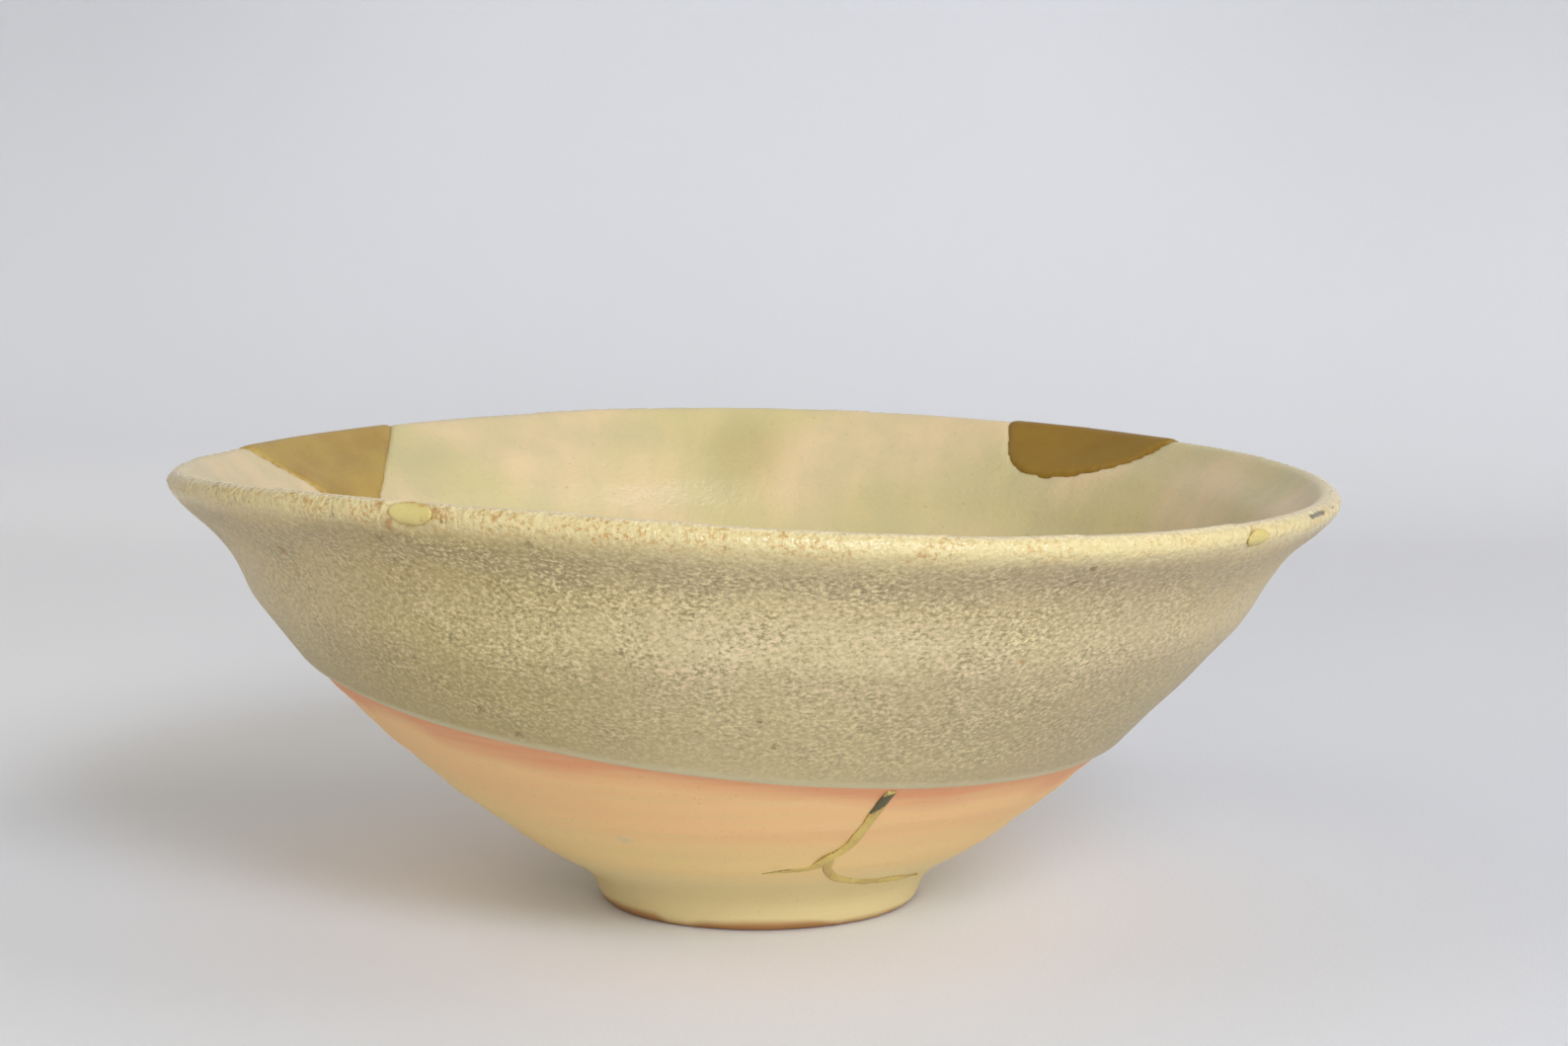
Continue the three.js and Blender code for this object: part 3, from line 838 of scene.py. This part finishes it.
class MENDED_OT_chip_fills(bpy.types.Operator):
    """Make the pale fills of the two chips in the lip"""

    bl_idname = "mended.chip_fills"
    bl_label = "Chip fills"

    def execute(self, context):
        sizes, tints = context.scene.mended_sizes, context.scene.mended_colours
        material = lacquer_material(
            "pale_gold_lacquer", tints.gold_pale, tints.gold_cream,
            metal=0.0, grain_share=0.3, patina=tints.gold_rust,
        )
        for place in ("front", "small"):
            fill = copy_of(f"{place}_chip_fill", f"{place}_pale_fill")
            even_surface(fill, sizes.chip_grid, rounds=3)
            lap_over(fill, sizes.chip_lap, 0.4 * sizes.fill_ragged, sizes.chip_proud)
            # Rusty round the edge and in small patches
            places = rows_of(fill, "co")
            away = places - (places.min(0) + places.max(0)) / 2
            run = np.hypot(away[:, 0], away[:, 1])
            edge = np.hypot(run / run.max(), away[:, 2] / away[:, 2].max())
            spots = lumps(places, 1.2 * MM, seed=14)
            store(fill, "patina", 0.5 * smooth_step(edge, 0.4, 1.2) + 0.4 * spots)
            hand_over(fill, f"{place}_chip_fill", material)
        return {"FINISHED"}


class MENDED_OT_seam(bpy.types.Operator):
    """Make the gold seam in the forked crack"""

    bl_idname = "mended.seam"
    bl_label = "Crack seam"

    def execute(self, context):
        sizes, tints = context.scene.mended_sizes, context.scene.mended_colours
        seam = copy_of("crack_seam", "gold_seam")
        even_surface(seam, sizes.chip_grid, rounds=2)
        places, normals = rows_of(seam, "co"), rows_of(seam, "normal")
        angles = angles_of(places)
        level = np.stack([np.cos(angles), np.sin(angles), np.zeros(len(angles))], 1)
        out = level * math.cos(BELLY_LEAN)
        out[:, 2] = -math.sin(BELLY_LEAN)
        across = (normals * out).sum(1)

        # The seam spreads over the clay, thins out at both ends and is pressed a little flat
        spread = np.full(len(places), sizes.seam_spread)
        for tip in (places[places[:, 0].argmin()], places[places[:, 0].argmax()]):
            away = np.linalg.norm(places - tip, axis=1)
            spread -= 1.9 * sizes.seam_spread * (1 - smooth_step(away, 0, sizes.seam_taper))
        spread *= 1 + 0.35 * lumps(places, 1.5 * MM, seed=6)
        pressed = np.maximum(across, 0) * sizes.seam_press
        sideways = normals - across[:, None] * out
        place_points(seam, places + spread[:, None] * sideways - pressed[:, None] * out)

        # Patina lies in two flecks, along both edges and as a trace over the left part
        edge = 0.35 * smooth_step(np.linalg.norm(sideways, axis=1), 0.75, 1.0)
        flecks = 1.3 * np.clip(stroked(places, PATINA, out), 0, 1)
        trace = 0.22 * smooth_step(places[:, 0], 8 * MM, 5 * MM)
        store(seam, "patina", np.maximum(flecks, edge) + trace)
        material = lacquer_material(
            "seam_gold_lacquer", tints.gold_ochre, tints.gold_seam,
            metal=0.1, grain_share=0.4, patina=tints.patina,
        )
        hand_over(seam, "crack_seam", material)
        return {"FINISHED"}


class MENDED_OT_stage(bpy.types.Operator):
    """Make the floor with its backdrop, the light and the camera"""

    bl_idname = "mended.stage"
    bl_label = "Stage"

    def execute(self, context):
        stage = context.scene.mended_stage
        self.make_floor(stage)
        self.make_light(stage)
        self.make_camera(stage)
        context.scene.view_settings.view_transform = "Standard"
        return {"FINISHED"}

    def make_floor(self, stage):
        """A sheet that lies under the bowl and turns up behind it."""
        half_width, front, wall_height = 2.0, 1.5, 2.2
        fold_faces = 24
        back = stage.fold_place + stage.fold_radius
        bpy.ops.object.select_all(action="DESELECT")
        bpy.ops.mesh.primitive_plane_add(size=1, location=(0, (back - front) / 2, 0))
        floor = bpy.context.active_object
        floor.name = "pale_floor"
        floor.scale = (2 * half_width, front + back, 1)
        bpy.ops.object.transform_apply(location=True, rotation=True, scale=True)
        mesh = floor.data
        bpy.ops.object.mode_set(mode="EDIT")
        bpy.ops.mesh.select_mode(type="EDGE")
        bpy.ops.mesh.select_all(action="DESELECT")
        bpy.ops.object.mode_set(mode="OBJECT")
        for edge in mesh.edges:
            edge.select = all(mesh.vertices[v].co.y > back - MM for v in edge.vertices)
        bpy.ops.object.mode_set(mode="EDIT")
        bpy.ops.mesh.extrude_edges_move(TRANSFORM_OT_translate={"value": (0, 0, wall_height)})
        bpy.ops.mesh.select_all(action="DESELECT")
        bpy.ops.object.mode_set(mode="OBJECT")
        for edge in mesh.edges:
            ends = [mesh.vertices[v].co for v in edge.vertices]
            edge.select = all(end.y > back - MM and end.z < MM for end in ends)
        bpy.ops.object.mode_set(mode="EDIT")
        bpy.ops.mesh.bevel(offset=stage.fold_radius, segments=fold_faces)
        bpy.ops.object.mode_set(mode="OBJECT")
        bpy.ops.object.shade_smooth()
        paper = floor_material(stage.floor_colour, stage.wall_colour, stage.corner_shade_colour)
        floor.data.materials.append(paper)

    def add_window(self, name, power, tint):
        """A square soft light that faces the bowl."""
        angle, height, distance, side = WINDOWS[name]
        angle, height = math.radians(angle), math.radians(height)
        level = math.cos(height)
        way = Vector((math.sin(angle) * level, -math.cos(angle) * level, math.sin(height)))
        bpy.ops.object.light_add(type="AREA", location=way * distance * MM)
        light = bpy.context.active_object
        light.name = f"{name}_window"
        light.rotation_euler = way.to_track_quat("Z", "Y").to_euler()
        light.data.shape = "SQUARE"
        light.data.size = side * MM
        light.data.energy = power
        light.data.color = tint[:3]

    def make_light(self, stage):
        """A main light to the right of the camera, weaker ones round it, and even light from everywhere."""
        self.add_window("key", stage.key_power, stage.day_tint)
        self.add_window("front", stage.front_power, (1, 1, 1))
        self.add_window("right", stage.right_power, stage.room_tint)
        self.add_window("left", stage.left_power, stage.room_tint)
        world = bpy.data.worlds.new("soft_room")
        world.use_nodes = True
        sky = world.node_tree.nodes["Background"]
        sky.inputs["Color"].default_value = stage.room_tint
        sky.inputs["Strength"].default_value = stage.sky_strength
        bpy.context.scene.world = world

    def make_camera(self, stage):
        """The camera of the photograph."""
        bpy.ops.object.camera_add(
            location=stage.camera_place, rotation=(math.pi / 2 - stage.camera_dip, 0, 0)
        )
        camera = bpy.context.active_object
        camera.name = "photo_camera"
        camera.data.lens = stage.camera_lens
        camera.data.sensor_width = SENSOR_WIDTH
        bpy.context.scene.camera = camera


class MENDED_PT_panel(bpy.types.Panel):
    """Lists the pieces and their settings"""

    bl_idname = "MENDED_PT_panel"
    bl_label = "Mended bowl"
    bl_space_type = "VIEW_3D"
    bl_region_type = "UI"
    bl_category = "Mended bowl"

    def draw(self, context):
        for operator in OPERATORS:
            self.layout.operator(operator.bl_idname)
        for group in SETTINGS:
            settings = getattr(context.scene, group)
            box = self.layout.box()
            for name in settings.bl_rna.properties.keys():
                if name not in ("rna_type", "name"):
                    box.prop(settings, name)


SETTINGS = {"mended_sizes": BowlSizes, "mended_colours": BowlColours, "mended_stage": StageSettings}
OPERATORS = (
    MENDED_OT_effects, MENDED_OT_bowl, MENDED_OT_rim_fills,
    MENDED_OT_chip_fills, MENDED_OT_seam, MENDED_OT_stage,
)


def register():
    for made in (*SETTINGS.values(), *OPERATORS, MENDED_PT_panel):
        bpy.utils.register_class(made)
    for name, group in SETTINGS.items():
        setattr(bpy.types.Scene, name, PointerProperty(type=group))


def unregister():
    for name in SETTINGS:
        delattr(bpy.types.Scene, name)
    for made in (MENDED_PT_panel, *reversed(OPERATORS), *reversed(SETTINGS.values())):
        bpy.utils.unregister_class(made)


def main():
    register()
    bpy.ops.mended.effects()
    bpy.ops.mended.bowl()
    bpy.ops.mended.rim_fills()
    bpy.ops.mended.chip_fills()
    bpy.ops.mended.seam()
    bpy.ops.mended.stage()


if __name__ == "__main__":
    main()
